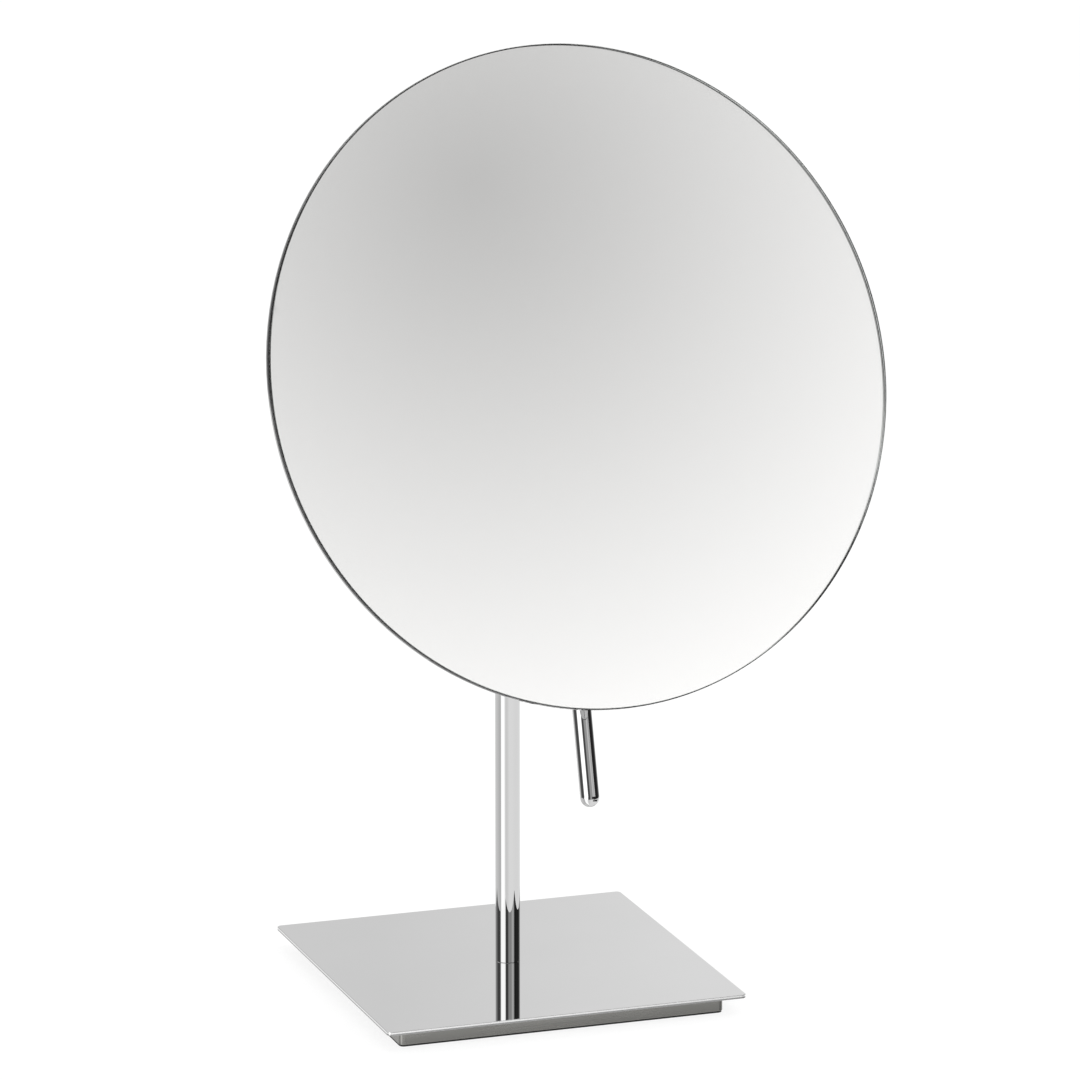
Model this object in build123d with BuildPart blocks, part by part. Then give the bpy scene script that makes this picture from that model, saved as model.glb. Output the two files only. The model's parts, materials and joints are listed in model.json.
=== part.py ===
"""Free-standing round cosmetic mirror on a pole and a square base. Millimetres, +Z up, -Y to the front.

The origin is the centre of the base's underside. The pose is the mirror's rest pose: its head is turned a
little to the right of the base's front, and the glass is tilted a little upwards.
"""
import math
import os

from build123d import *

# ---- clearances ----
run_gap = 0.05       # between faces and round fits that move on each other
thread_gap = 0.05    # round a screw or stud in its hole
glue_gap = 0.05      # between foam, glass and shell
tap_runout = 1.0     # a tapped hole is this much deeper than its screw
key_share = 0.6      # depth of a socket, as a share of its screw's head
bevel_share = 0.125  # bevel on a screw's head, likewise

# ---- base ----
base_side = 120.0
base_height = 7.1    # table to the top of the plate
plate_thick = 1.2
plate_corner = 1.6
plate_edge = 0.15
weight_inset = 5.75  # from the plate's edge to the block's side
weight_corner = 1.5
weight_edge = 0.3
film_thick = 0.2
film_inset = 3.0
pad_thick = 0.5
pad_inset = 0.2

# ---- pole and its foot screw ----
pole_dia = 8.0
pole_edge = 0.2
foot_screw_dia = 5.0
foot_head_dia = 9.0
foot_head_height = 2.2
foot_key = 3.0
foot_washer_thick = 0.6
foot_washer_dia = 9.6
foot_counterbore_dia = 11.0
foot_grip = 10.0     # thread in the pole

# ---- swivel head on the pole ----
swivel_angle = 5.3   # head to the right of the base's front
tilt_reach = 20.5    # pole axis to tilt pin
tilt_height = 199.45  # table to tilt pin
barrel_dia = 16.0
barrel_height = 20.0
barrel_edge = 0.6
spigot_dia = 5.5
slip_washer_thick = 0.5
spring_washer_thick = 0.5
clamp_washer_thick = 0.8
stack_dia = 9.0      # washers in the barrel's recess
recess_dia = 10.0
swivel_screw_dia = 3.0
swivel_head_dia = 5.5
swivel_head_height = 3.0
swivel_key = 2.5
swivel_grip = 8.0
cap_air = 0.3        # screw head to cap
cap_plug = 1.5
cap_dome = 1.6
cap_rim = 0.5        # cap's edge inside the barrel's

# ---- fork, tilt pin and lug ----
tilt_angle = 19.3    # glass leans back from upright
cheek_radius = 7.0
cheek_thick = 4.0
cheek_edge = 0.5
slot_depth = 9.0     # behind the pin
lug_radius = 6.5
lug_thick = 6.0
disc_dia = 12.0
disc_thick = 0.5
pin_dia = 5.0
pin_head_dia = 9.0
pin_head_height = 3.0
pin_key = 3.0
pin_thread_dia = 4.0
pin_thread = 5.2
nut_flats = 7.0
nut_height = 3.2
nut_dome = 2.8
nut_washer_dia = 8.0
nut_washer_thick = 0.8

# ---- mirror hub, clamped to the knuckle by one screw ----
handle_clock = -2.9  # handle off the mirror's own upright
flange_low = 8.0     # tilt pin to the knuckle's flange
flange_thick = 2.5
flange_dia = 18.0
hub_dia = 20.0
hub_flange_dia = 44.0
hub_flange_thick = 3.0
hub_flange_edge = 0.6
hub_neck = 2.0
hub_screw_dia = 4.0
hub_head_dia = 7.0
hub_head_height = 4.0
hub_key = 3.0
hub_washer_dia = 8.0
hub_washer_thick = 0.9
hub_counterbore_dia = 9.0
hub_floor = 18.5     # tilt pin to the floor of the screw's recess
hub_grip = 5.8       # thread in the knuckle

# ---- glass and back shell, measured from the tilt pin along the mirror's axis ----
face_offset = 40.0   # tilt pin to the plane of the glass's front rim
glass_dia = 207.7
glass_thick = 2.0
glass_curve = 900.0  # radius of the hollow face: about three times magnifying
glass_round = 0.5    # polished front corner of the edge
glass_arris = 0.2    # its back corner
foam_thick = 0.5
foam_width = 10.5
foam_inset = 4.0     # shell's edge to the outer ring
foam_pad_gap = 8.0   # shell's flat middle to the inner ring
shell_inset = 0.1    # glass's edge to the shell's
shell_wall = 0.8
shell_lip_gap = 0.1
shell_round = 0.4
shell_pad_radius = 24.0
shell_pad_step = 3.0
shell_pad_drop = 1.3  # the flat middle stands back, for the screws' heads
shell_screw_count = 3
shell_screw_circle = 34.0
shell_screw_dia = 3.0
shell_head_dia = 5.6
shell_head_height = 1.5
shell_key = 2.0

# ---- handle ----
handle_depth = 14.7  # tilt pin to the handle's axis, along the mirror's axis
handle_dia = 6.0
handle_reach = 28.2  # glass's edge to the tip of the dome
handle_spot = 1.0    # depth of the rod's flat seat in the hub
handle_spot_gap = 0.1
stud_dia = 4.0
stud_bite = 5.5      # stud inside the hub
stud_grip = 9.0      # stud inside the rod

# ---- directions and frames ----
up = Vector(0, 0, 1)
turn = math.radians(swivel_angle)
lean = math.radians(tilt_angle)
clock = math.radians(handle_clock)
forward = Vector(math.sin(turn), -math.cos(turn), 0)
side = Vector(math.cos(turn), math.sin(turn), 0)
normal = forward * math.cos(lean) + up * math.sin(lean)
mirror_up = up * math.cos(lean) - forward * math.sin(lean)
tilt_point = forward * tilt_reach + up * tilt_height

pole_frame = Plane(origin=(0, 0, 0), x_dir=side, z_dir=up)
fork_frame = Plane(origin=tilt_point, x_dir=forward, z_dir=side)
lug_frame = Plane(origin=tilt_point, x_dir=normal, z_dir=side)
face_frame = Plane(
    origin=tilt_point,
    x_dir=side * math.cos(clock) + mirror_up * math.sin(clock),
    z_dir=normal,
)
handle_frame = Plane(
    origin=tilt_point + normal * handle_depth,
    x_dir=face_frame.x_dir,
    z_dir=-face_frame.y_dir,
)

os.makedirs("parts", exist_ok=True)


def keep(piece, name):
    """Label a finished piece and write it."""
    piece.part.label = name
    export_step(piece.part, f"parts/{name}.step")


def section_of(frame):
    """The plane through a frame's axis: x is the radius, y runs along the axis."""
    return Plane(origin=frame.origin, x_dir=frame.x_dir, z_dir=-frame.y_dir)


def axis_of(frame):
    return Axis(frame.origin, frame.z_dir)


def turned(frame, *outline):
    """A round piece from its half outline of (radius, height) points."""
    with BuildPart() as piece:
        with BuildSketch(section_of(frame)):
            with BuildLine():
                Polyline(*outline, close=True)
            make_face()
        revolve(axis=axis_of(frame))
    return piece


def ring(frame, inner, outer, low, thick):
    """A flat washer: its two radii, where its low face lies and its thickness."""
    high = low + thick
    return turned(frame, (inner, low), (outer, low), (outer, high), (inner, high))


def socket_screw(frame, head_dia, head_height, key, *shank):
    """A socket screw. The frame lies under its head and points along the shank, given as (diameter, length)
    steps; key is the hexagon's size across its flats."""
    bevel = head_height * bevel_share
    outline = [(0, -head_height), (head_dia / 2 - bevel, -head_height), (head_dia / 2, bevel - head_height)]
    outline.append((head_dia / 2, 0))
    reached = 0
    for dia, length in shank:
        outline.append((dia / 2, reached))
        reached += length
        outline.append((dia / 2, reached))
    outline.append((0, reached))
    with BuildPart() as screw:
        with BuildSketch(section_of(frame)):
            with BuildLine():
                Polyline(*outline, close=True)
            make_face()
        revolve(axis=axis_of(frame))
        with BuildSketch(frame.offset(-head_height)):
            RegularPolygon(key / 2, 6, major_radius=False)
        extrude(amount=head_height * key_share, mode=Mode.SUBTRACT)
    return screw


# ==== base ====
weight_low = pad_thick
plate_low = base_height - plate_thick
weight_high = plate_low - film_thick
weight_side = base_side - 2 * weight_inset
foot_hole = foot_screw_dia / 2 + thread_gap
foot_recess = foot_head_height + foot_washer_thick + thread_gap
foot_ceiling = weight_low + foot_recess

pad_side = weight_side - 2 * pad_inset
with BuildPart() as base_pad:
    with BuildSketch(Plane.XY):
        RectangleRounded(pad_side, pad_side, weight_corner)
    extrude(amount=pad_thick)
keep(base_pad, "base_pad")

with BuildPart() as base_weight:
    with BuildSketch(Plane.XY.offset(weight_low)):
        RectangleRounded(weight_side, weight_side, weight_corner)
    extrude(amount=weight_high - weight_low)
    fillet(base_weight.faces().sort_by(Axis.Z)[0].edges(), weight_edge)
    with Locations(Plane(origin=(0, 0, weight_low), z_dir=(0, 0, -1))):
        CounterBoreHole(foot_hole, foot_counterbore_dia / 2, foot_recess)
keep(base_weight, "base_weight")

with BuildPart() as bond_film:
    with BuildSketch(Plane.XY.offset(weight_high)):
        RectangleRounded(weight_side - 2 * film_inset, weight_side - 2 * film_inset, weight_corner)
        Circle(foot_counterbore_dia / 2, mode=Mode.SUBTRACT)
    extrude(amount=film_thick)
keep(bond_film, "bond_film")

with BuildPart() as base_plate:
    with BuildSketch(Plane.XY.offset(plate_low)):
        RectangleRounded(base_side, base_side, plate_corner)
    extrude(amount=plate_thick)
    fillet(base_plate.faces().filter_by(Axis.Z).edges(), plate_edge)
    with BuildSketch(Plane.XY.offset(plate_low)):
        Circle(foot_hole)
    extrude(amount=plate_thick, mode=Mode.SUBTRACT)
keep(base_plate, "base_plate")

foot_washer_low = foot_ceiling - foot_washer_thick
pole_washer = ring(pole_frame, foot_hole, foot_washer_dia / 2, foot_washer_low, foot_washer_thick)
keep(pole_washer, "pole_washer")

foot_shank = base_height + foot_grip - foot_washer_low
pole_screw = socket_screw(
    pole_frame.offset(foot_washer_low),
    foot_head_dia,
    foot_head_height,
    foot_key,
    (foot_screw_dia, foot_shank),
)
keep(pole_screw, "pole_screw")

# ==== pole and the swivel's inner stack ====
barrel_low = tilt_height - barrel_height / 2
barrel_high = tilt_height + barrel_height / 2
shoulder = barrel_low - run_gap - slip_washer_thick
stack_height = spring_washer_thick + clamp_washer_thick + swivel_head_height
recess_floor = barrel_high - cap_plug - cap_air - stack_height - run_gap
spring_low = recess_floor + run_gap
spigot_top = spring_low + spring_washer_thick
clamp_high = spigot_top + clamp_washer_thick
spigot_fit = spigot_dia / 2 + run_gap
tap_top = swivel_screw_dia / 2 + thread_gap
tap_low = clamp_high - swivel_grip - tap_runout

pole = turned(
    pole_frame,
    (foot_hole, base_height),
    (pole_dia / 2 - pole_edge, base_height),
    (pole_dia / 2, base_height + pole_edge),
    (pole_dia / 2, shoulder),
    (spigot_dia / 2, shoulder),
    (spigot_dia / 2, spigot_top),
    (tap_top, spigot_top),
    (tap_top, tap_low),
    (0, tap_low),
    (0, base_height + foot_grip + tap_runout),
    (foot_hole, base_height + foot_grip + tap_runout),
)
keep(pole, "pole")

swivel_washer = ring(pole_frame, spigot_fit, pole_dia / 2, shoulder, slip_washer_thick)
keep(swivel_washer, "swivel_washer")

swivel_spring = ring(pole_frame, spigot_fit, stack_dia / 2, spring_low, spring_washer_thick)
keep(swivel_spring, "swivel_spring")

swivel_clamp_washer = ring(pole_frame, tap_top, stack_dia / 2, spigot_top, clamp_washer_thick)
keep(swivel_clamp_washer, "swivel_clamp_washer")

screw_down = Plane(origin=(0, 0, clamp_high), x_dir=side, z_dir=-up)
swivel_screw = socket_screw(
    screw_down, swivel_head_dia, swivel_head_height, swivel_key, (swivel_screw_dia, swivel_grip)
)
keep(swivel_screw, "swivel_screw")

# ==== swivel head ====
slot_width = lug_thick + 2 * disc_thick + 2 * run_gap
fork_width = slot_width + 2 * cheek_thick
pin_hole = pin_dia / 2 + run_gap

with BuildPart() as swivel_head:
    with BuildSketch(fork_frame):
        Circle(cheek_radius)
        with Locations((-tilt_reach / 2, 0)):
            Rectangle(tilt_reach, 2 * cheek_radius)
    extrude(amount=fork_width / 2, both=True)
    chamfer(swivel_head.faces().filter_by(Axis(tilt_point, side)).edges(), cheek_edge)
    with BuildSketch(pole_frame.offset(barrel_low)):
        Circle(barrel_dia / 2)
    extrude(amount=barrel_height)
    chamfer(swivel_head.faces().sort_by(Axis.Z)[0].edges(), barrel_edge)
    chamfer(swivel_head.faces().sort_by(Axis.Z)[-1].edges(), barrel_edge)
    with BuildSketch(fork_frame):
        with Locations(((cheek_radius - slot_depth) / 2, 0)):
            Rectangle(cheek_radius + slot_depth, 4 * cheek_radius)
    extrude(amount=slot_width / 2, both=True, mode=Mode.SUBTRACT)
    with BuildSketch(fork_frame):
        Circle(pin_hole)
    extrude(amount=fork_width, both=True, mode=Mode.SUBTRACT)
    with BuildSketch(pole_frame.offset(barrel_low)):
        Circle(spigot_fit)
    extrude(amount=barrel_height, mode=Mode.SUBTRACT)
    with BuildSketch(pole_frame.offset(recess_floor)):
        Circle(recess_dia / 2)
    extrude(amount=barrel_high - recess_floor, mode=Mode.SUBTRACT)
keep(swivel_head, "swivel_head")

cap_radius = barrel_dia / 2 - cap_rim
cap_ball = (cap_radius**2 + cap_dome**2) / (2 * cap_dome)
cap_half = cap_radius / 2
cap_half_high = barrel_high + cap_dome - cap_ball + math.sqrt(cap_ball**2 - cap_half**2)
with BuildPart() as head_cap:
    with BuildSketch(section_of(pole_frame)):
        with BuildLine():
            Polyline(
                (0, barrel_high + cap_dome),
                (0, barrel_high - cap_plug),
                (recess_dia / 2 - thread_gap, barrel_high - cap_plug),
                (recess_dia / 2 - thread_gap, barrel_high),
                (cap_radius, barrel_high),
            )
            ThreePointArc(
                (cap_radius, barrel_high), (cap_half, cap_half_high), (0, barrel_high + cap_dome)
            )
        make_face()
    revolve(axis=axis_of(pole_frame))
keep(head_cap, "head_cap")

# ==== tilt pin and what it carries ====
pin_frame = Plane(origin=tilt_point + side * (fork_width / 2), x_dir=up, z_dir=-side)
tilt_pin = socket_screw(
    pin_frame, pin_head_dia, pin_head_height, pin_key, (pin_dia, fork_width), (pin_thread_dia, pin_thread)
)
keep(tilt_pin, "tilt_pin")

tilt_spring = ring(
    pin_frame, pin_thread_dia / 2 + thread_gap, nut_washer_dia / 2, fork_width, nut_washer_thick
)
keep(tilt_spring, "tilt_spring")

nut_frame = pin_frame.offset(fork_width + nut_washer_thick)
with BuildPart() as tilt_nut:
    with BuildSketch(nut_frame):
        RegularPolygon(nut_flats / 2, 6, major_radius=False)
    extrude(amount=nut_height)
    with BuildSketch(section_of(nut_frame)):
        with BuildLine():
            Polyline((nut_flats / 2, nut_height), (0, nut_height), (0, nut_height + nut_dome))
            ThreePointArc(
                (0, nut_height + nut_dome),
                (nut_flats / 2 * math.sin(math.pi / 4), nut_height + nut_dome * math.cos(math.pi / 4)),
                (nut_flats / 2, nut_height),
            )
        make_face()
    revolve(axis=axis_of(nut_frame))
    with BuildSketch(nut_frame):
        Circle(pin_thread_dia / 2 + thread_gap)
    extrude(amount=pin_thread - nut_washer_thick + thread_gap, mode=Mode.SUBTRACT)
keep(tilt_nut, "tilt_nut")

centre_pin_frame = Plane(origin=tilt_point, x_dir=up, z_dir=-side)
disc_wall = disc_dia / 2 - pin_hole
disc_middle = (slot_width - disc_thick) / 2
with BuildPart() as tilt_discs:
    with BuildSketch(section_of(centre_pin_frame)):
        with Locations((pin_hole + disc_wall / 2, disc_middle), (pin_hole + disc_wall / 2, -disc_middle)):
            Rectangle(disc_wall, disc_thick)
    revolve(axis=axis_of(centre_pin_frame))
keep(tilt_discs, "tilt_discs")

flange_high = flange_low + flange_thick
hub_thread = hub_screw_dia / 2 + thread_gap
hub_screw_seat = hub_floor + hub_washer_thick
with BuildPart() as tilt_knuckle:
    with BuildSketch(lug_frame):
        Circle(lug_radius)
        with Locations((flange_low / 2, 0)):
            Rectangle(flange_low, 2 * lug_radius)
    extrude(amount=lug_thick / 2, both=True)
    with BuildSketch(face_frame.offset(flange_low)):
        Circle(flange_dia / 2)
    extrude(amount=flange_thick)
    with BuildSketch(lug_frame):
        Circle(pin_hole)
    extrude(amount=lug_thick, both=True, mode=Mode.SUBTRACT)
    with BuildSketch(face_frame.offset(flange_high)):
        Circle(hub_thread)
    extrude(amount=-hub_grip - thread_gap, mode=Mode.SUBTRACT)
keep(tilt_knuckle, "tilt_knuckle")

hub_washer = ring(face_frame, hub_thread, hub_washer_dia / 2, hub_floor, hub_washer_thick)
keep(hub_washer, "hub_washer")

hub_screw_frame = Plane(
    origin=tilt_point + normal * hub_screw_seat, x_dir=face_frame.x_dir, z_dir=-normal
)
hub_screw = socket_screw(
    hub_screw_frame,
    hub_head_dia,
    hub_head_height,
    hub_key,
    (hub_screw_dia, hub_screw_seat - flange_high + hub_grip),
)
keep(hub_screw, "hub_screw")

# ==== glass, foam, shell and hub ====
glass_radius = glass_dia / 2
shell_radius = glass_radius - shell_inset
dish_start = shell_pad_radius + shell_pad_step
curve_centre = face_offset + math.sqrt(glass_curve**2 - glass_radius**2)


def dish(depth, radius):
    """Height above the tilt pin, at a radius, of the curved surface that lies depth behind the face."""
    return curve_centre - math.sqrt((glass_curve + depth) ** 2 - radius**2)


def dish_arc(depth, start, end):
    """The stretch of that surface's section between two radii."""
    middle = (start + end) / 2
    ThreePointArc((start, dish(depth, start)), (middle, dish(depth, middle)), (end, dish(depth, end)))


with BuildPart() as mirror_glass:
    with BuildSketch(section_of(face_frame)) as glass_section:
        with BuildLine():
            dish_arc(0, 0, glass_radius)
            Line((glass_radius, dish(0, glass_radius)), (glass_radius, dish(glass_thick, glass_radius)))
            dish_arc(glass_thick, glass_radius, 0)
            Line((0, dish(glass_thick, 0)), (0, dish(0, 0)))
        make_face()
        rim_corners = glass_section.vertices().group_by(Axis.X)[-1].sort_by(Axis.Y)
        chamfer(rim_corners[0], glass_arris)
        fillet(rim_corners[1], glass_round)
    revolve(axis=axis_of(face_frame))
keep(mirror_glass, "mirror_glass")

shell_front = glass_thick + foam_thick
shell_back = shell_front + shell_wall


def foam_outline(inner, outer):
    """A foam ring's section, between glass and shell."""
    front = glass_thick + glue_gap
    back = shell_front - glue_gap
    Polyline(
        (inner, dish(front, inner)),
        (outer, dish(front, outer)),
        (outer, dish(back, outer)),
        (inner, dish(back, inner)),
        close=True,
    )


outer_ring = shell_radius - foam_inset
inner_ring = dish_start + foam_pad_gap + foam_width
with BuildPart() as foam_rings:
    with BuildSketch(section_of(face_frame)):
        for ring_outer in (inner_ring, outer_ring):
            with BuildLine():
                foam_outline(ring_outer - foam_width, ring_outer)
            make_face()
    revolve(axis=axis_of(face_frame))
keep(foam_rings, "foam_rings")

pad_front = dish(shell_front, 0) - shell_pad_drop
pad_back = pad_front - shell_wall
lip_inner = shell_radius - shell_wall
lip_high = dish(glass_thick + shell_lip_gap, shell_radius)
shell_screw_hole = shell_screw_dia / 2 + thread_gap
with BuildPart() as back_shell:
    with BuildSketch(section_of(face_frame)) as shell_section:
        with BuildLine():
            Polyline(
                (0, pad_front),
                (shell_pad_radius, pad_front),
                (dish_start, dish(shell_front, dish_start)),
            )
            dish_arc(shell_front, dish_start, lip_inner)
            Polyline(
                (lip_inner, dish(shell_front, lip_inner)),
                (lip_inner, lip_high),
                (shell_radius, lip_high),
                (shell_radius, dish(shell_back, shell_radius)),
            )
            dish_arc(shell_back, shell_radius, dish_start)
            Polyline(
                (dish_start, dish(shell_back, dish_start)),
                (shell_pad_radius, pad_back),
                (0, pad_back),
                (0, pad_front),
            )
        make_face()
        rim_corner = (shell_radius, dish(shell_back, shell_radius), 0)
        fillet(shell_section.vertices().sort_by_distance(rim_corner)[0], shell_round)
    revolve(axis=axis_of(face_frame))
    with BuildSketch(face_frame.offset(pad_back)):
        with PolarLocations(shell_screw_circle / 2, shell_screw_count):
            Circle(shell_screw_hole)
    extrude(amount=shell_wall, mode=Mode.SUBTRACT)
keep(back_shell, "back_shell")

hub_flange_low = pad_back - hub_flange_thick
handle_seat = hub_dia / 2 - handle_spot
stud_inner = handle_seat - stud_bite + handle_spot
stud_outer = handle_seat + stud_grip
with BuildPart() as mirror_hub:
    with BuildSketch(section_of(face_frame)) as hub_section:
        with BuildLine():
            Polyline(
                (hub_thread, flange_high),
                (hub_dia / 2, flange_high),
                (hub_dia / 2, hub_flange_low),
                (hub_flange_dia / 2, hub_flange_low),
                (hub_flange_dia / 2, pad_back),
                (hub_counterbore_dia / 2, pad_back),
                (hub_counterbore_dia / 2, hub_floor),
                (hub_thread, hub_floor),
                close=True,
            )
        make_face()
        neck = (hub_dia / 2, hub_flange_low, 0)
        fillet(hub_section.vertices().sort_by_distance(neck)[0], hub_neck)
        brim = (hub_flange_dia / 2, hub_flange_low, 0)
        fillet(hub_section.vertices().sort_by_distance(brim)[0], hub_flange_edge)
    revolve(axis=axis_of(face_frame))
    with BuildSketch(handle_frame.offset(handle_seat)):
        Circle(handle_dia / 2 + handle_spot_gap)
    extrude(amount=hub_dia / 2, mode=Mode.SUBTRACT)
    with BuildSketch(handle_frame.offset(stud_inner)):
        Circle(stud_dia / 2 + thread_gap)
    extrude(amount=hub_dia / 2, mode=Mode.SUBTRACT)
    with BuildSketch(face_frame.offset(hub_flange_low)):
        with PolarLocations(shell_screw_circle / 2, shell_screw_count):
            Circle(shell_screw_hole)
    extrude(amount=hub_flange_thick, mode=Mode.SUBTRACT)
keep(mirror_hub, "mirror_hub")

one_screw = socket_screw(
    Plane(origin=(0, 0, 0), z_dir=(0, 0, -1)),
    shell_head_dia,
    shell_head_height,
    shell_key,
    (shell_screw_dia, shell_wall + hub_flange_thick),
)
with BuildPart(face_frame.offset(pad_front)) as shell_screws:
    with PolarLocations(shell_screw_circle / 2, shell_screw_count):
        add(one_screw.part)
keep(shell_screws, "shell_screws")

# ==== handle ====
handle_radius = handle_dia / 2
handle_tip = glass_radius + handle_reach
dome_base = handle_tip - handle_radius
stud_hole = stud_dia / 2 + thread_gap
with BuildPart() as handle_rod:
    with BuildSketch(section_of(handle_frame)):
        with BuildLine():
            Polyline(
                (0, handle_tip),
                (0, stud_outer + tap_runout),
                (stud_hole, stud_outer + tap_runout),
                (stud_hole, handle_seat),
                (handle_radius, handle_seat),
                (handle_radius, dome_base),
            )
            CenterArc((0, dome_base), handle_radius, 0, 90)
        make_face()
    revolve(axis=axis_of(handle_frame))
keep(handle_rod, "handle_rod")

handle_stud = turned(
    handle_frame, (0, stud_inner), (stud_dia / 2, stud_inner), (stud_dia / 2, stud_outer), (0, stud_outer)
)
keep(handle_stud, "handle_stud")
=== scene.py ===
"""Looks of the free-standing cosmetic mirror. Metres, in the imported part's frame: +Z up, -Y to the front."""

import json
import math

import bpy
from mathutils import Matrix, Vector


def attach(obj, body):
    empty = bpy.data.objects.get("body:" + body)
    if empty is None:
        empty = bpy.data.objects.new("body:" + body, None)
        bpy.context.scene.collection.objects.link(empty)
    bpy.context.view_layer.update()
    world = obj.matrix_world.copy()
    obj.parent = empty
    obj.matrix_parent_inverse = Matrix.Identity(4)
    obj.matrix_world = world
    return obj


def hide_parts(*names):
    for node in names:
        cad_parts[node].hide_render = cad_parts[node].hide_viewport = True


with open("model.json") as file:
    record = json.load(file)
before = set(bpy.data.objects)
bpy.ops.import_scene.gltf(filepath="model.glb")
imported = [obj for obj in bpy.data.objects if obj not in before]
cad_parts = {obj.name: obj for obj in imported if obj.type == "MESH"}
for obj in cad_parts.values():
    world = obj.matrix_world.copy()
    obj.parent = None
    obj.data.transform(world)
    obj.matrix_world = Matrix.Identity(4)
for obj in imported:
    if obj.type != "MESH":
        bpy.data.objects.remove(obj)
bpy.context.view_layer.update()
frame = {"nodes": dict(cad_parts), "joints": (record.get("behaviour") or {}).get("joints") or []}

mm = 0.001
up = Vector((0, 0, 1))

# ---- what the pieces here share with the construction ----
base_height = 7.1 * mm
painted_highlight_height = 6.45 * mm          # the plate's edge carries a painted highlight from here up
painted_highlight_blend = 0.05 * mm           # half the height of the change from satin with painted shade to the painted highlight
block_foot = 0.5 * mm               # the block's sides reach from here, on its pad
block_top = 5.7 * mm                # to here
tilt_angle = math.radians(19.3)     # glass leans back from upright
handle_clock = math.radians(-2.9)   # handle off the mirror's own upright
face_offset = 40.0 * mm             # tilt pin to the plane of the glass's front rim
glass_radius = 103.85 * mm
glass_thick = 2.0 * mm
glass_curve = 900.0 * mm            # radius of the hollow face
glass_round = 0.5 * mm              # polished front corner of the edge
glass_arris = 0.2 * mm              # its back corner
silver_gap = 0.005 * mm             # glass to silver
silver_thick = 0.03 * mm            # silver and its paint together
face_rings = 48                     # steps from the glass's axis to its edge
corner_rings = 10                   # steps round its front corner
round_steps = 360                   # steps round its axis

# ---- camera: its place is worked out from the middle of the base's top ----
camera_azimuth = math.radians(-19.142)
camera_elevation = math.radians(13.871)
camera_distance = 2.1566
camera_right = 0.010444
camera_up = 0.135855
camera_lens = 222.0                 # millimetres
camera_sensor = 36.0

# ---- floor and light ----
floor_side = 8.0
floor_colour = 0.22
floor_glow = 0.84                   # added for the camera alone, so that the floor shows white
plain_light = 0.8                   # what matt surfaces get from all round
lamp_power = 9.0
lamp_side = 1.4
lamp_place = Vector((0.15, -0.35, 1.7))

# The studio as metal and glass see it: (degrees to the right of the camera's own side, brightness).
ABOVE_TABLE = (
    (-180, 0.86), (-178.6, 0.80), (-165, 0.78), (-136, 0.42), (-115, 0.22), (-100, 0.08), (-72, 0.10),
    (-62, 1.9), (-31, 1.9), (-21.5, 1.5), (-18.2, 0.09), (-4, 0.07), (2, 0.08), (6, 0.24), (10, 0.42),
    (37, 0.42), (43, 0.52), (59, 0.52), (63, 0.06), (76, 0.01), (104, 0.02), (120, 0.05), (141, 0.25),
    (165, 0.9), (178.6, 0.92), (180, 0.86),
)
BELOW_TABLE = (
    (-180, 1.0), (-136, 0.81), (-100, 0.73), (-74, 0.60), (-65, 0.62), (-59, 1.5), (-30, 1.5), (-24, 1.0),
    (-14, 0.83), (-3, 0.85), (16, 0.99), (44, 0.99), (76, 0.96), (150, 0.96), (180, 1.0),
)
studio_peak = 2.0                   # above every brightness there
horizon = (math.radians(-14), math.radians(-10))
upper_walls = 1.0
upper_edge = (math.radians(25), math.radians(36))
ceiling = 1.3
ceiling_edge = (math.radians(52), math.radians(60))

# The grey card over the front right of the camera, which the glass shows: dark in its middle, white outwards.
card_azimuth = math.radians(33.3)
card_elevation = math.radians(16.8)
card_wide = 0.344
card_high = 0.268
card_dark = 0.56
card_light = 1.09
card_power = 1.25
# It shows inside these windows: degrees to the right of the camera's own side, and degrees up. Its outer end
# stands higher than the rest, with a low strip beside it.
card_windows = (
    ((38.9, 60.9), (12.0, 39.0)),
    ((57.0, 76.0), (18.4, 39.0)),
    ((61.5, 71.5), (12.3, 16.2)),
)
# The room stays unlit inside these.
gloom = 0.03
gloom_windows = (
    ((27.0, 45.4), (-4.0, 11.5)),
    ((45.0, 80.0), (-13.9, 11.5)),
    ((40.0, 110.0), (-34.0, -18.3)),
    ((-40.0, 100.0), (41.0, 74.0)),
    ((78.0, 125.0), (8.0, 74.0)),
)
window_edge = 0.4                   # degrees


def direction(azimuth, elevation):
    """A unit vector. Azimuth 0 is the object's front, -Y, and it grows towards +X."""
    level = math.cos(elevation)
    return Vector((math.sin(azimuth) * level, -math.cos(azimuth) * level, math.sin(elevation)))


# ==== node trees ====
def node(tree, kind, inputs=None, **settings):
    """A new node. Each input is a number or colour, or the output that it is joined to."""
    made = tree.nodes.new("ShaderNode" + kind)
    for name, value in settings.items():
        setattr(made, name, value)
    for key, value in (inputs or {}).items():
        if isinstance(value, bpy.types.NodeSocket):
            tree.links.new(value, made.inputs[key])
        else:
            made.inputs[key].default_value = value
    return made


def maths(tree, operation, *values):
    return node(tree, "Math", dict(enumerate(values)), operation=operation).outputs[0]


def dot(tree, first, second):
    return node(tree, "VectorMath", {0: first, 1: second}, operation="DOT_PRODUCT").outputs["Value"]


def between(tree, value, low, high, to_low=0.0, to_high=1.0, kind="LINEAR"):
    """value's place between low and high, from to_low to to_high."""
    inputs = {"Value": value, "From Min": low, "From Max": high, "To Min": to_low, "To Max": to_high}
    return node(tree, "MapRange", inputs, interpolation_type=kind).outputs[0]


def window(tree, value, low, high):
    """1 between two angles, 0 outside, with soft edges. The angles are in degrees, the value in radians."""
    inner, outer = math.radians(low - window_edge), math.radians(low + window_edge)
    rise = between(tree, value, inner, outer, kind="SMOOTHSTEP")
    inner, outer = math.radians(high - window_edge), math.radians(high + window_edge)
    fall = between(tree, value, inner, outer, 1.0, 0.0, kind="SMOOTHSTEP")
    return maths(tree, "MULTIPLY", rise, fall)


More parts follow.
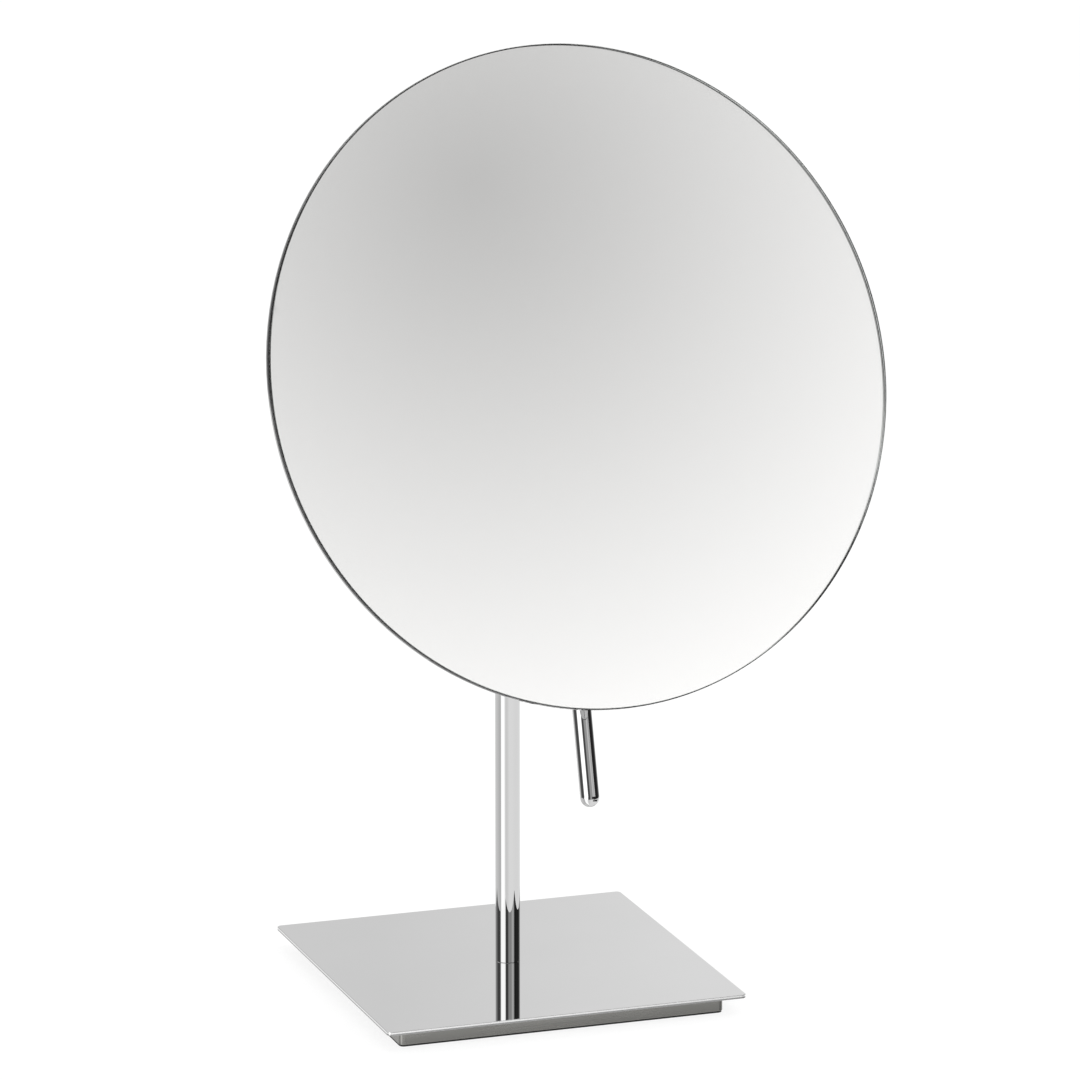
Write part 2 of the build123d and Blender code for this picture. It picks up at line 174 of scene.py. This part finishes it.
def windows(tree, azimuth, elevation, places):
    """1 inside any of the windows."""
    share = 0.0
    for across, upright in places:
        inside = maths(tree, "MULTIPLY", window(tree, azimuth, *across), window(tree, elevation, *upright))
        share = maths(tree, "MAXIMUM", share, inside)
    return share


def mixed(tree, share, first, second):
    return node(tree, "Mix", {0: share, 2: first, 3: second}).outputs[0]


def curve(tree, value, points):
    """Brightness at a place from 0 to 1, from (degrees, brightness) points round the whole circle."""
    made = node(tree, "FloatCurve", {"Value": value})
    made.mapping.use_clip = False
    line = made.mapping.curves[0].points
    for _ in range(len(points) - 2):
        line.new(0.5, 0.5)
    for spot, (angle, brightness) in zip(line, points):
        spot.location = ((angle + 180) / 360, brightness / studio_peak)
        spot.handle_type = "VECTOR"
    made.mapping.update()
    return maths(tree, "MULTIPLY", made.outputs[0], studio_peak)


# ==== studio ====
def make_camera():
    back = direction(camera_azimuth, camera_elevation)
    right = up.cross(back).normalized()
    above = back.cross(right)
    camera = bpy.data.objects.new("camera", bpy.data.cameras.new("camera"))
    bpy.context.scene.collection.objects.link(camera)
    camera.data.sensor_width = camera_sensor
    camera.data.lens = camera_lens
    turn = Matrix((right, above, back)).transposed().to_4x4()
    aim = Vector((0, 0, base_height)) + right * camera_right + above * camera_up
    camera.matrix_world = Matrix.Translation(aim + back * camera_distance) @ turn
    bpy.context.scene.camera = camera


def make_world():
    """White to the camera, plain light to matt surfaces, and the studio to metal and glass."""
    world = bpy.data.worlds.new("studio")
    bpy.context.scene.world = world
    world.use_nodes = True
    tree = world.node_tree
    tree.nodes.clear()
    way = node(tree, "TexCoord").outputs["Generated"]
    part = node(tree, "SeparateXYZ", {0: way}).outputs
    azimuth = maths(tree, "ARCTAN2", part["X"], maths(tree, "MULTIPLY", part["Y"], -1.0))
    elevation = maths(tree, "ARCSINE", part["Z"])
    past_camera = maths(tree, "SUBTRACT", azimuth, camera_azimuth)
    from_camera = maths(tree, "WRAP", past_camera, math.pi, -math.pi)
    share = between(tree, from_camera, -math.pi, math.pi)
    above = curve(tree, share, ABOVE_TABLE)
    below = curve(tree, share, BELOW_TABLE)
    room = mixed(tree, between(tree, elevation, *horizon, kind="SMOOTHSTEP"), below, above)
    room = mixed(tree, between(tree, elevation, *upper_edge, kind="SMOOTHSTEP"), room, upper_walls)
    room = mixed(tree, between(tree, elevation, *ceiling_edge, kind="SMOOTHSTEP"), room, ceiling)
    room = mixed(tree, windows(tree, from_camera, elevation, gloom_windows), room, gloom)

    middle = direction(card_azimuth, card_elevation)
    right = up.cross(middle).normalized()
    across = dot(tree, way, right / card_wide)
    along = dot(tree, way, middle.cross(right) / card_high)
    squares = maths(tree, "ADD", maths(tree, "POWER", across, 2.0), maths(tree, "POWER", along, 2.0))
    outwards = maths(tree, "POWER", maths(tree, "SQRT", squares), card_power)
    card = between(tree, outwards, 0.0, 1.0, card_dark, card_light)
    seen = mixed(tree, windows(tree, from_camera, elevation, card_windows), room, card)

    path = node(tree, "LightPath").outputs
    shown = maths(tree, "MAXIMUM", path["Is Camera Ray"], path["Is Glossy Ray"])
    shown = maths(tree, "MAXIMUM", shown, path["Is Transmission Ray"])
    backdrop = mixed(tree, path["Is Camera Ray"], seen, 1.0)
    strength = mixed(tree, shown, plain_light, backdrop)
    light = node(tree, "Background", {"Color": (1, 1, 1, 1), "Strength": strength})
    out = node(tree, "OutputWorld")
    tree.links.new(light.outputs[0], out.inputs["Surface"])


def make_lamp():
    """A broad lamp overhead gives the matt surfaces their shade. Metal and glass don't show it."""
    lamp = bpy.data.lights.new("overhead", "AREA")
    lamp.shape = "SQUARE"
    lamp.size = lamp_side
    lamp.energy = lamp_power
    made = bpy.data.objects.new("overhead", lamp)
    bpy.context.scene.collection.objects.link(made)
    made.location = lamp_place
    made.rotation_euler = lamp_place.to_track_quat("Z", "Y").to_euler()
    made.visible_glossy = False
    made.visible_transmission = False


def make_floor():
    """White to the camera under a soft shadow; metal and glass see the studio's lower half through it."""
    half = floor_side / 2
    mesh = bpy.data.meshes.new("floor")
    corners = [(-half, -half, 0), (half, -half, 0), (half, half, 0), (-half, half, 0)]
    mesh.from_pydata(corners, [], [(0, 1, 2, 3)])
    floor = bpy.data.objects.new("floor", mesh)
    bpy.context.scene.collection.objects.link(floor)
    material = bpy.data.materials.new("floor")
    material.use_nodes = True
    tree = material.node_tree
    tree.nodes.clear()
    path = node(tree, "LightPath").outputs
    matt = node(tree, "BsdfDiffuse", {"Color": (floor_colour, floor_colour, floor_colour, 1)})
    shine = maths(tree, "MULTIPLY", path["Is Camera Ray"], floor_glow)
    glow = node(tree, "Emission", {"Color": (1, 1, 1, 1), "Strength": shine})
    table = node(tree, "AddShader", {0: matt.outputs[0], 1: glow.outputs[0]})
    mirrored = maths(tree, "MAXIMUM", path["Is Glossy Ray"], path["Is Transmission Ray"])
    clear = node(tree, "BsdfTransparent")
    shown = node(tree, "MixShader", {0: mirrored, 1: table.outputs[0], 2: clear.outputs[0]})
    out = node(tree, "OutputMaterial")
    tree.links.new(shown.outputs[0], out.inputs["Surface"])
    mesh.materials.append(material)


# ==== materials ====
def surface(name, colour, **values):
    """A new material with its shader, and the piece's own coordinates in metres."""
    material = bpy.data.materials.new(name)
    material.use_nodes = True
    tree = material.node_tree
    shader = tree.nodes["Principled BSDF"]
    shader.inputs["Base Color"].default_value = (*colour, 1)
    for socket, value in values.items():
        shader.inputs[socket.replace("_", " ")].default_value = value
    place = node(tree, "TexCoord").outputs["Object"]
    return material, tree, shader, place


def noise(tree, place, scale, detail=3.0, stretch=(1, 1, 1)):
    stretched = node(tree, "Mapping", {"Vector": place, "Scale": stretch})
    made = node(tree, "TexNoise", {"Vector": stretched.outputs[0], "Scale": scale, "Detail": detail})
    return made.outputs["Fac"]


def tint(tree, shader, share, dark, light):
    """The colour runs from dark to light as share does from 0 to 1."""
    ramp = node(tree, "Mix", {0: share, 6: (*dark, 1), 7: (*light, 1)}, data_type="RGBA")
    tree.links.new(ramp.outputs[2], shader.inputs["Base Color"])


noise_low = 0.3                     # nearly all of a noise's values lie between these
noise_high = 0.7


def rough(tree, shader, share, low, high):
    """The roughness runs from low to high as a noise goes through its usual values."""
    tree.links.new(between(tree, share, noise_low, noise_high, low, high), shader.inputs["Roughness"])


def bump(tree, shader, height, depth):
    made = node(tree, "Bump", {"Height": height, "Strength": 1.0, "Distance": depth})
    tree.links.new(made.outputs[0], shader.inputs["Normal"])


def grey(level):
    return (level, level, level)


def chrome_finish():
    """Bright plating, with faint wipe marks in its tone and gloss."""
    material, tree, shader, place = surface("polished_chrome_finish", grey(0.68), Metallic=1.0)
    wiped = noise(tree, place, 55.0, 5.0, (1.0, 1.0, 0.35))
    tint(tree, shader, wiped, grey(0.668), grey(0.692))
    rough(tree, shader, wiped, 0.006, 0.022)
    return material


def plate_with_painted_edge_light():
    """The base plate: bright, with faint smears. Its edges, cut by shearing, are satin, with painted shade for
    the floor's shadow round the base as they reflect it, and a painted highlight along their top, where they
    are also less rough.
    """
    material, tree, shader, place = surface("base_plate_with_painted_edge_light", grey(0.68), Metallic=1.0)
    smeared = noise(tree, place, 30.0, 8.0)
    facing = node(tree, "SeparateXYZ", {0: node(tree, "TexCoord").outputs["Normal"]}).outputs["Z"]
    below = between(tree, facing, -0.9, -1.0)
    top = maths(tree, "MAXIMUM", between(tree, facing, 0.1, 0.6, kind="SMOOTHSTEP"), below)
    bright = mixed(tree, smeared, 0.665, 0.70)
    # painted shade: the edges get a darker colour, the shadowed floor round the base as they reflect it
    painted_edge_shade_and_highlight = mixed(tree, noise(tree, place, 900.0), 0.38, 0.49)
    height = node(tree, "SeparateXYZ", {0: place}).outputs["Z"]
    painted_shade_below = painted_highlight_height - painted_highlight_blend
    painted_highlight_above = painted_highlight_height + painted_highlight_blend
    painted_highlight = between(tree, height, painted_shade_below, painted_highlight_above, kind="SMOOTHSTEP")
    # painted highlight: a near-white band along the top of the edges
    painted_edge_shade_and_highlight = mixed(tree, painted_highlight, painted_edge_shade_and_highlight, 0.97)
    shade = mixed(tree, top, painted_edge_shade_and_highlight, bright)
    colour = node(tree, "CombineColor", {0: shade, 1: shade, 2: shade}).outputs[0]
    tree.links.new(colour, shader.inputs["Base Color"])
    satin = mixed(tree, painted_highlight, 0.24, 0.17)
    gloss = mixed(tree, top, satin, mixed(tree, smeared, 0.004, 0.014))
    tree.links.new(gloss, shader.inputs["Roughness"])
    return material


def silver_finish():
    material, tree, shader, place = surface("mirror_silver_finish", grey(0.955), Metallic=1.0)
    rough(tree, shader, noise(tree, place, 35.0, 4.0), 0.0, 0.006)
    return material


def paint_finish():
    """Grey lacquer over the silver."""
    material, tree, shader, place = surface("mirror_paint_finish", grey(0.43), Roughness=0.4)
    peel = noise(tree, place, 900.0, 2.0)
    tint(tree, shader, noise(tree, place, 45.0), grey(0.40), grey(0.46))
    bump(tree, shader, peel, 0.02 * mm)
    return material


def glass_finish():
    """Clear glass, with faint wipe marks."""
    material, tree, shader, place = surface(
        "clear_glass_finish", (0.992, 0.990, 0.985), Transmission_Weight=1.0, IOR=1.52
    )
    rough(tree, shader, noise(tree, place, 30.0, 5.0), 0.0, 0.004)
    return material


def edge_glass_finish():
    """The glass's edge: polished, with a trace of its grinding left, and darker than the clear glass."""
    material, tree, shader, place = surface(
        "edge_glass_finish", (0.62, 0.64, 0.63), Transmission_Weight=1.0, IOR=1.52
    )
    ground = noise(tree, place, 1500.0, 2.0)
    rough(tree, shader, ground, 0.005, 0.03)
    bump(tree, shader, ground, 0.003 * mm)
    return material


def satin_steel_with_painted_shade():
    """The block's plated sides: fine drawn lines that run level, and painted shade that darkens them towards
    the floor.
    """
    material, tree, shader, place = surface("weight_steel_with_painted_shade", grey(0.2), Metallic=1.0)
    drawn = noise(tree, place, 700.0, 3.0, (0.05, 0.05, 1.0))
    # painted shade: the colour darkens towards the block's foot, the floor's shadow under the plate as the
    # sides reflect it; the drawn lines add their own random tone
    height = node(tree, "SeparateXYZ", {0: place}).outputs["Z"]
    painted_shade_rise = between(tree, height, block_foot, block_top)
    drawn_lines_and_painted_shade = maths(tree, "ADD", maths(tree, "MULTIPLY", drawn, 0.5), maths(tree, "MULTIPLY", painted_shade_rise, 0.5))
    tint(tree, shader, drawn_lines_and_painted_shade, (0.205, 0.203, 0.193), (0.43, 0.426, 0.405))
    rough(tree, shader, drawn, 0.22, 0.34)
    bump(tree, shader, drawn, 0.004 * mm)
    return material


def screw_steel_finish():
    material, tree, shader, place = surface("screw_steel_finish", grey(0.5), Metallic=1.0)
    turned = noise(tree, place, 600.0, 3.0)
    tint(tree, shader, turned, (0.45, 0.46, 0.48), (0.56, 0.565, 0.575))
    rough(tree, shader, turned, 0.22, 0.38)
    bump(tree, shader, turned, 0.004 * mm)
    return material


def spring_steel_finish():
    material, tree, shader, place = surface("spring_steel_finish", grey(0.3), Metallic=1.0)
    rolled = noise(tree, place, 500.0, 3.0, (1.0, 1.0, 0.2))
    tint(tree, shader, rolled, (0.24, 0.245, 0.26), (0.34, 0.345, 0.355))
    rough(tree, shader, rolled, 0.25, 0.42)
    return material


def nylon_finish():
    material, tree, shader, place = surface("slip_nylon_finish", (0.78, 0.76, 0.70), Roughness=0.45)
    moulded = noise(tree, place, 700.0, 2.0)
    tint(tree, shader, moulded, (0.74, 0.72, 0.66), (0.82, 0.80, 0.74))
    bump(tree, shader, moulded, 0.01 * mm)
    return material


def foam_with_painted_pore_shade(name, dark, light, pore_scale):
    """Closed-cell foam: its cut pores show as small round hollows, darkened towards their middles with painted
    shade.
    """
    material, tree, shader, place = surface(name, dark, Roughness=0.85)
    pore_hollows_and_painted_shade = node(tree, "TexVoronoi", {"Vector": place, "Scale": pore_scale}).outputs["Distance"]
    # painted shade: each pore is darker where its hollow is deepest
    tint(tree, shader, pore_hollows_and_painted_shade, dark, light)
    bump(tree, shader, pore_hollows_and_painted_shade, 0.12 * mm)
    return material


def bond_finish():
    material, tree, shader, place = surface(
        "bond_clear_finish", (0.82, 0.80, 0.72), Transmission_Weight=0.6, IOR=1.47
    )
    rough(tree, shader, noise(tree, place, 250.0), 0.2, 0.4)
    return material


# ==== round pieces ====
class Spot:
    """A place with three axes: a round piece's own axis is the third."""

    def __init__(self, origin, first, third):
        self.origin = origin
        self.first = first
        self.third = third
        self.second = third.cross(first)

    def at(self, radius, height, turn):
        level = self.first * math.cos(turn) + self.second * math.sin(turn)
        return self.origin + level * radius + self.third * height

    def away(self, outward, turn):
        level = self.first * math.cos(turn) + self.second * math.sin(turn)
        return level * outward[0] + self.third * outward[1]


def straight(start, end):
    """A straight stretch of a half outline, as (point, outward direction) pairs. The solid is on its left."""
    run = end[0] - start[0]
    rise = end[1] - start[1]
    length = math.hypot(run, rise)
    outward = (rise / length, -run / length)
    return [(start, outward), (end, outward)]


def rounded(points, centre, sign):
    """A curved stretch about a centre: sign is 1 where the surface bulges, -1 where it is hollow."""
    stretch = []
    for point in points:
        run = point[0] - centre[0]
        rise = point[1] - centre[1]
        length = math.hypot(run, rise) * sign
        stretch.append((point, (run / length, rise / length)))
    return stretch


on_axis = 1e-9                      # a radius below this has one vertex


def lathe(name, spot, stretches, finishes, steps):
    """A round piece. Its half outline runs from axis to axis, as (stretch, finish number) pairs."""
    vertices = []
    faces = []
    finish_of = []
    normals = []

    def add_ring(point):
        """Adds an outline point's vertices. Returns the first one's number and how many there are."""
        count = 1 if point[0] < on_axis else steps
        first = len(vertices)
        for step in range(count):
            vertices.append(spot.at(*point, 2 * math.pi * step / steps))
        return first, count

    previous = None
    for stretch, finish in stretches:
        for (point, outward), (next_point, next_outward) in zip(stretch, stretch[1:]):
            if previous is None:
                previous = add_ring(point)
            current = add_ring(next_point)
            for step in range(steps):
                after = (step + 1) % steps
                corners = []
                for (first, count), turn, way in (
                    (previous, step, outward),
                    (previous, after, outward),
                    (current, after, next_outward),
                    (current, step, next_outward),
                ):
                    vertex = first + turn % count
                    if vertex not in [corner[0] for corner in corners]:
                        corners.append((vertex, spot.away(way, 2 * math.pi * turn / steps)))
                faces.append([corner[0] for corner in corners])
                normals.extend(corner[1] for corner in corners)
                finish_of.append(finish)
            previous = current
    mesh = bpy.data.meshes.new(name)
    mesh.from_pydata(vertices, [], faces)
    for finish in finishes:
        mesh.materials.append(finish)
    mesh.polygons.foreach_set("material_index", finish_of)
    mesh.polygons.foreach_set("use_smooth", [True] * len(faces))
    mesh.normals_split_custom_set(normals)
    piece = bpy.data.objects.new(name, mesh)
    bpy.context.scene.collection.objects.link(piece)
    return piece


# ==== the mirror's glass and silver ====
tilt_joint = next(joint for joint in frame["joints"] if joint["name"] == "mirror_tilt")
tilt_point = Vector(tilt_joint["pos_m"])
side = -Vector(tilt_joint["axis"])
forward = side.cross(up)
normal = forward * math.cos(tilt_angle) + up * math.sin(tilt_angle)
mirror_up = up * math.cos(tilt_angle) - forward * math.sin(tilt_angle)
across_handle = side * math.cos(handle_clock) + mirror_up * math.sin(handle_clock)
face_spot = Spot(tilt_point, across_handle, normal)

curve_centre = face_offset + math.sqrt(glass_curve**2 - glass_radius**2)


def dish(depth, radius):
    """Height above the tilt pin, at a radius, of the curved surface that lies depth behind the face."""
    return curve_centre - math.sqrt((glass_curve + depth) ** 2 - radius**2)


def dish_stretch(depth, start, end, sign):
    """That surface's half outline, from one radius to another."""
    points = []
    for step in range(face_rings + 1):
        radius = start + (end - start) * step / face_rings
        points.append((radius, dish(depth, radius)))
    return rounded(points, (0.0, curve_centre), sign)


def rim_arc():
    """The rounded front corner of the edge, from the side to where it meets the face."""
    inner = glass_radius - glass_round
    centre = (inner, dish(glass_round, inner))
    square = math.atan2(curve_centre - centre[1], -inner)
    points = []
    for step in range(corner_rings + 1):
        angle = square * step / corner_rings
        points.append((centre[0] + glass_round * math.cos(angle), centre[1] + glass_round * math.sin(angle)))
    return rounded(points, centre, 1)


def make_pane(finish, edge_finish):
    """The clear glass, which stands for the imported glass: hollow in front, with its edge rounded."""
    back_corner = (glass_radius, dish(glass_thick, glass_radius) + glass_arris)
    front_corner = rim_arc()
    back = dish_stretch(glass_thick, 0.0, glass_radius - glass_arris, 1)
    front = dish_stretch(0.0, front_corner[-1][0][0], 0.0, -1)
    outline = [
        (back, 0),
        (straight(back[-1][0], back_corner), 1),
        (straight(back_corner, front_corner[0][0]), 1),
        (front_corner, 1),
        (front, 0),
    ]
    pane = lathe("mirror_pane", face_spot, outline, [finish, edge_finish], round_steps)
    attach(pane, "mirror")
    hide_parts("mirror_glass")


def make_silver(finish, paint):
    """The film that mirrors, behind the glass: silver in front, paint behind."""
    edge = glass_radius - glass_arris
    back = dish_stretch(glass_thick + silver_gap + silver_thick, 0.0, edge, 1)
    front = dish_stretch(glass_thick + silver_gap, edge, 0.0, -1)
    outline = [(back, 1), (straight(back[-1][0], front[0][0]), 1), (front, 0)]
    silver = lathe("mirror_silver", face_spot, outline, [finish, paint], round_steps)
    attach(silver, "mirror")


# ==== making it ====
def finish_cad_pieces():
    """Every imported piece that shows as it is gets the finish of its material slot."""
    finishes = {
        "polished_chrome": chrome_finish(),
        "weight_steel": satin_steel_with_painted_shade(),
        "screw_steel": screw_steel_finish(),
        "spring_steel": spring_steel_finish(),
        "slip_nylon": nylon_finish(),
        "pad_foam": foam_with_painted_pore_shade("pad_foam_with_painted_pore_shade", grey(0.018), grey(0.05), 1400.0),
        "tape_foam": foam_with_painted_pore_shade("tape_foam_with_painted_pore_shade", grey(0.60), grey(0.78), 1100.0),
        "bond_clear": bond_finish(),
    }
    own = {"base_plate": plate_with_painted_edge_light()}
    for node_name, piece in frame["nodes"].items():
        for slot in piece.material_slots:
            name = slot.material.name.split(".")[0]
            if name in finishes:
                slot.material = own.get(node_name, finishes[name])


bpy.context.scene.view_settings.view_transform = "Standard"
make_camera()
make_world()
make_lamp()
make_floor()
finish_cad_pieces()
make_pane(glass_finish(), edge_glass_finish())
make_silver(silver_finish(), paint_finish())
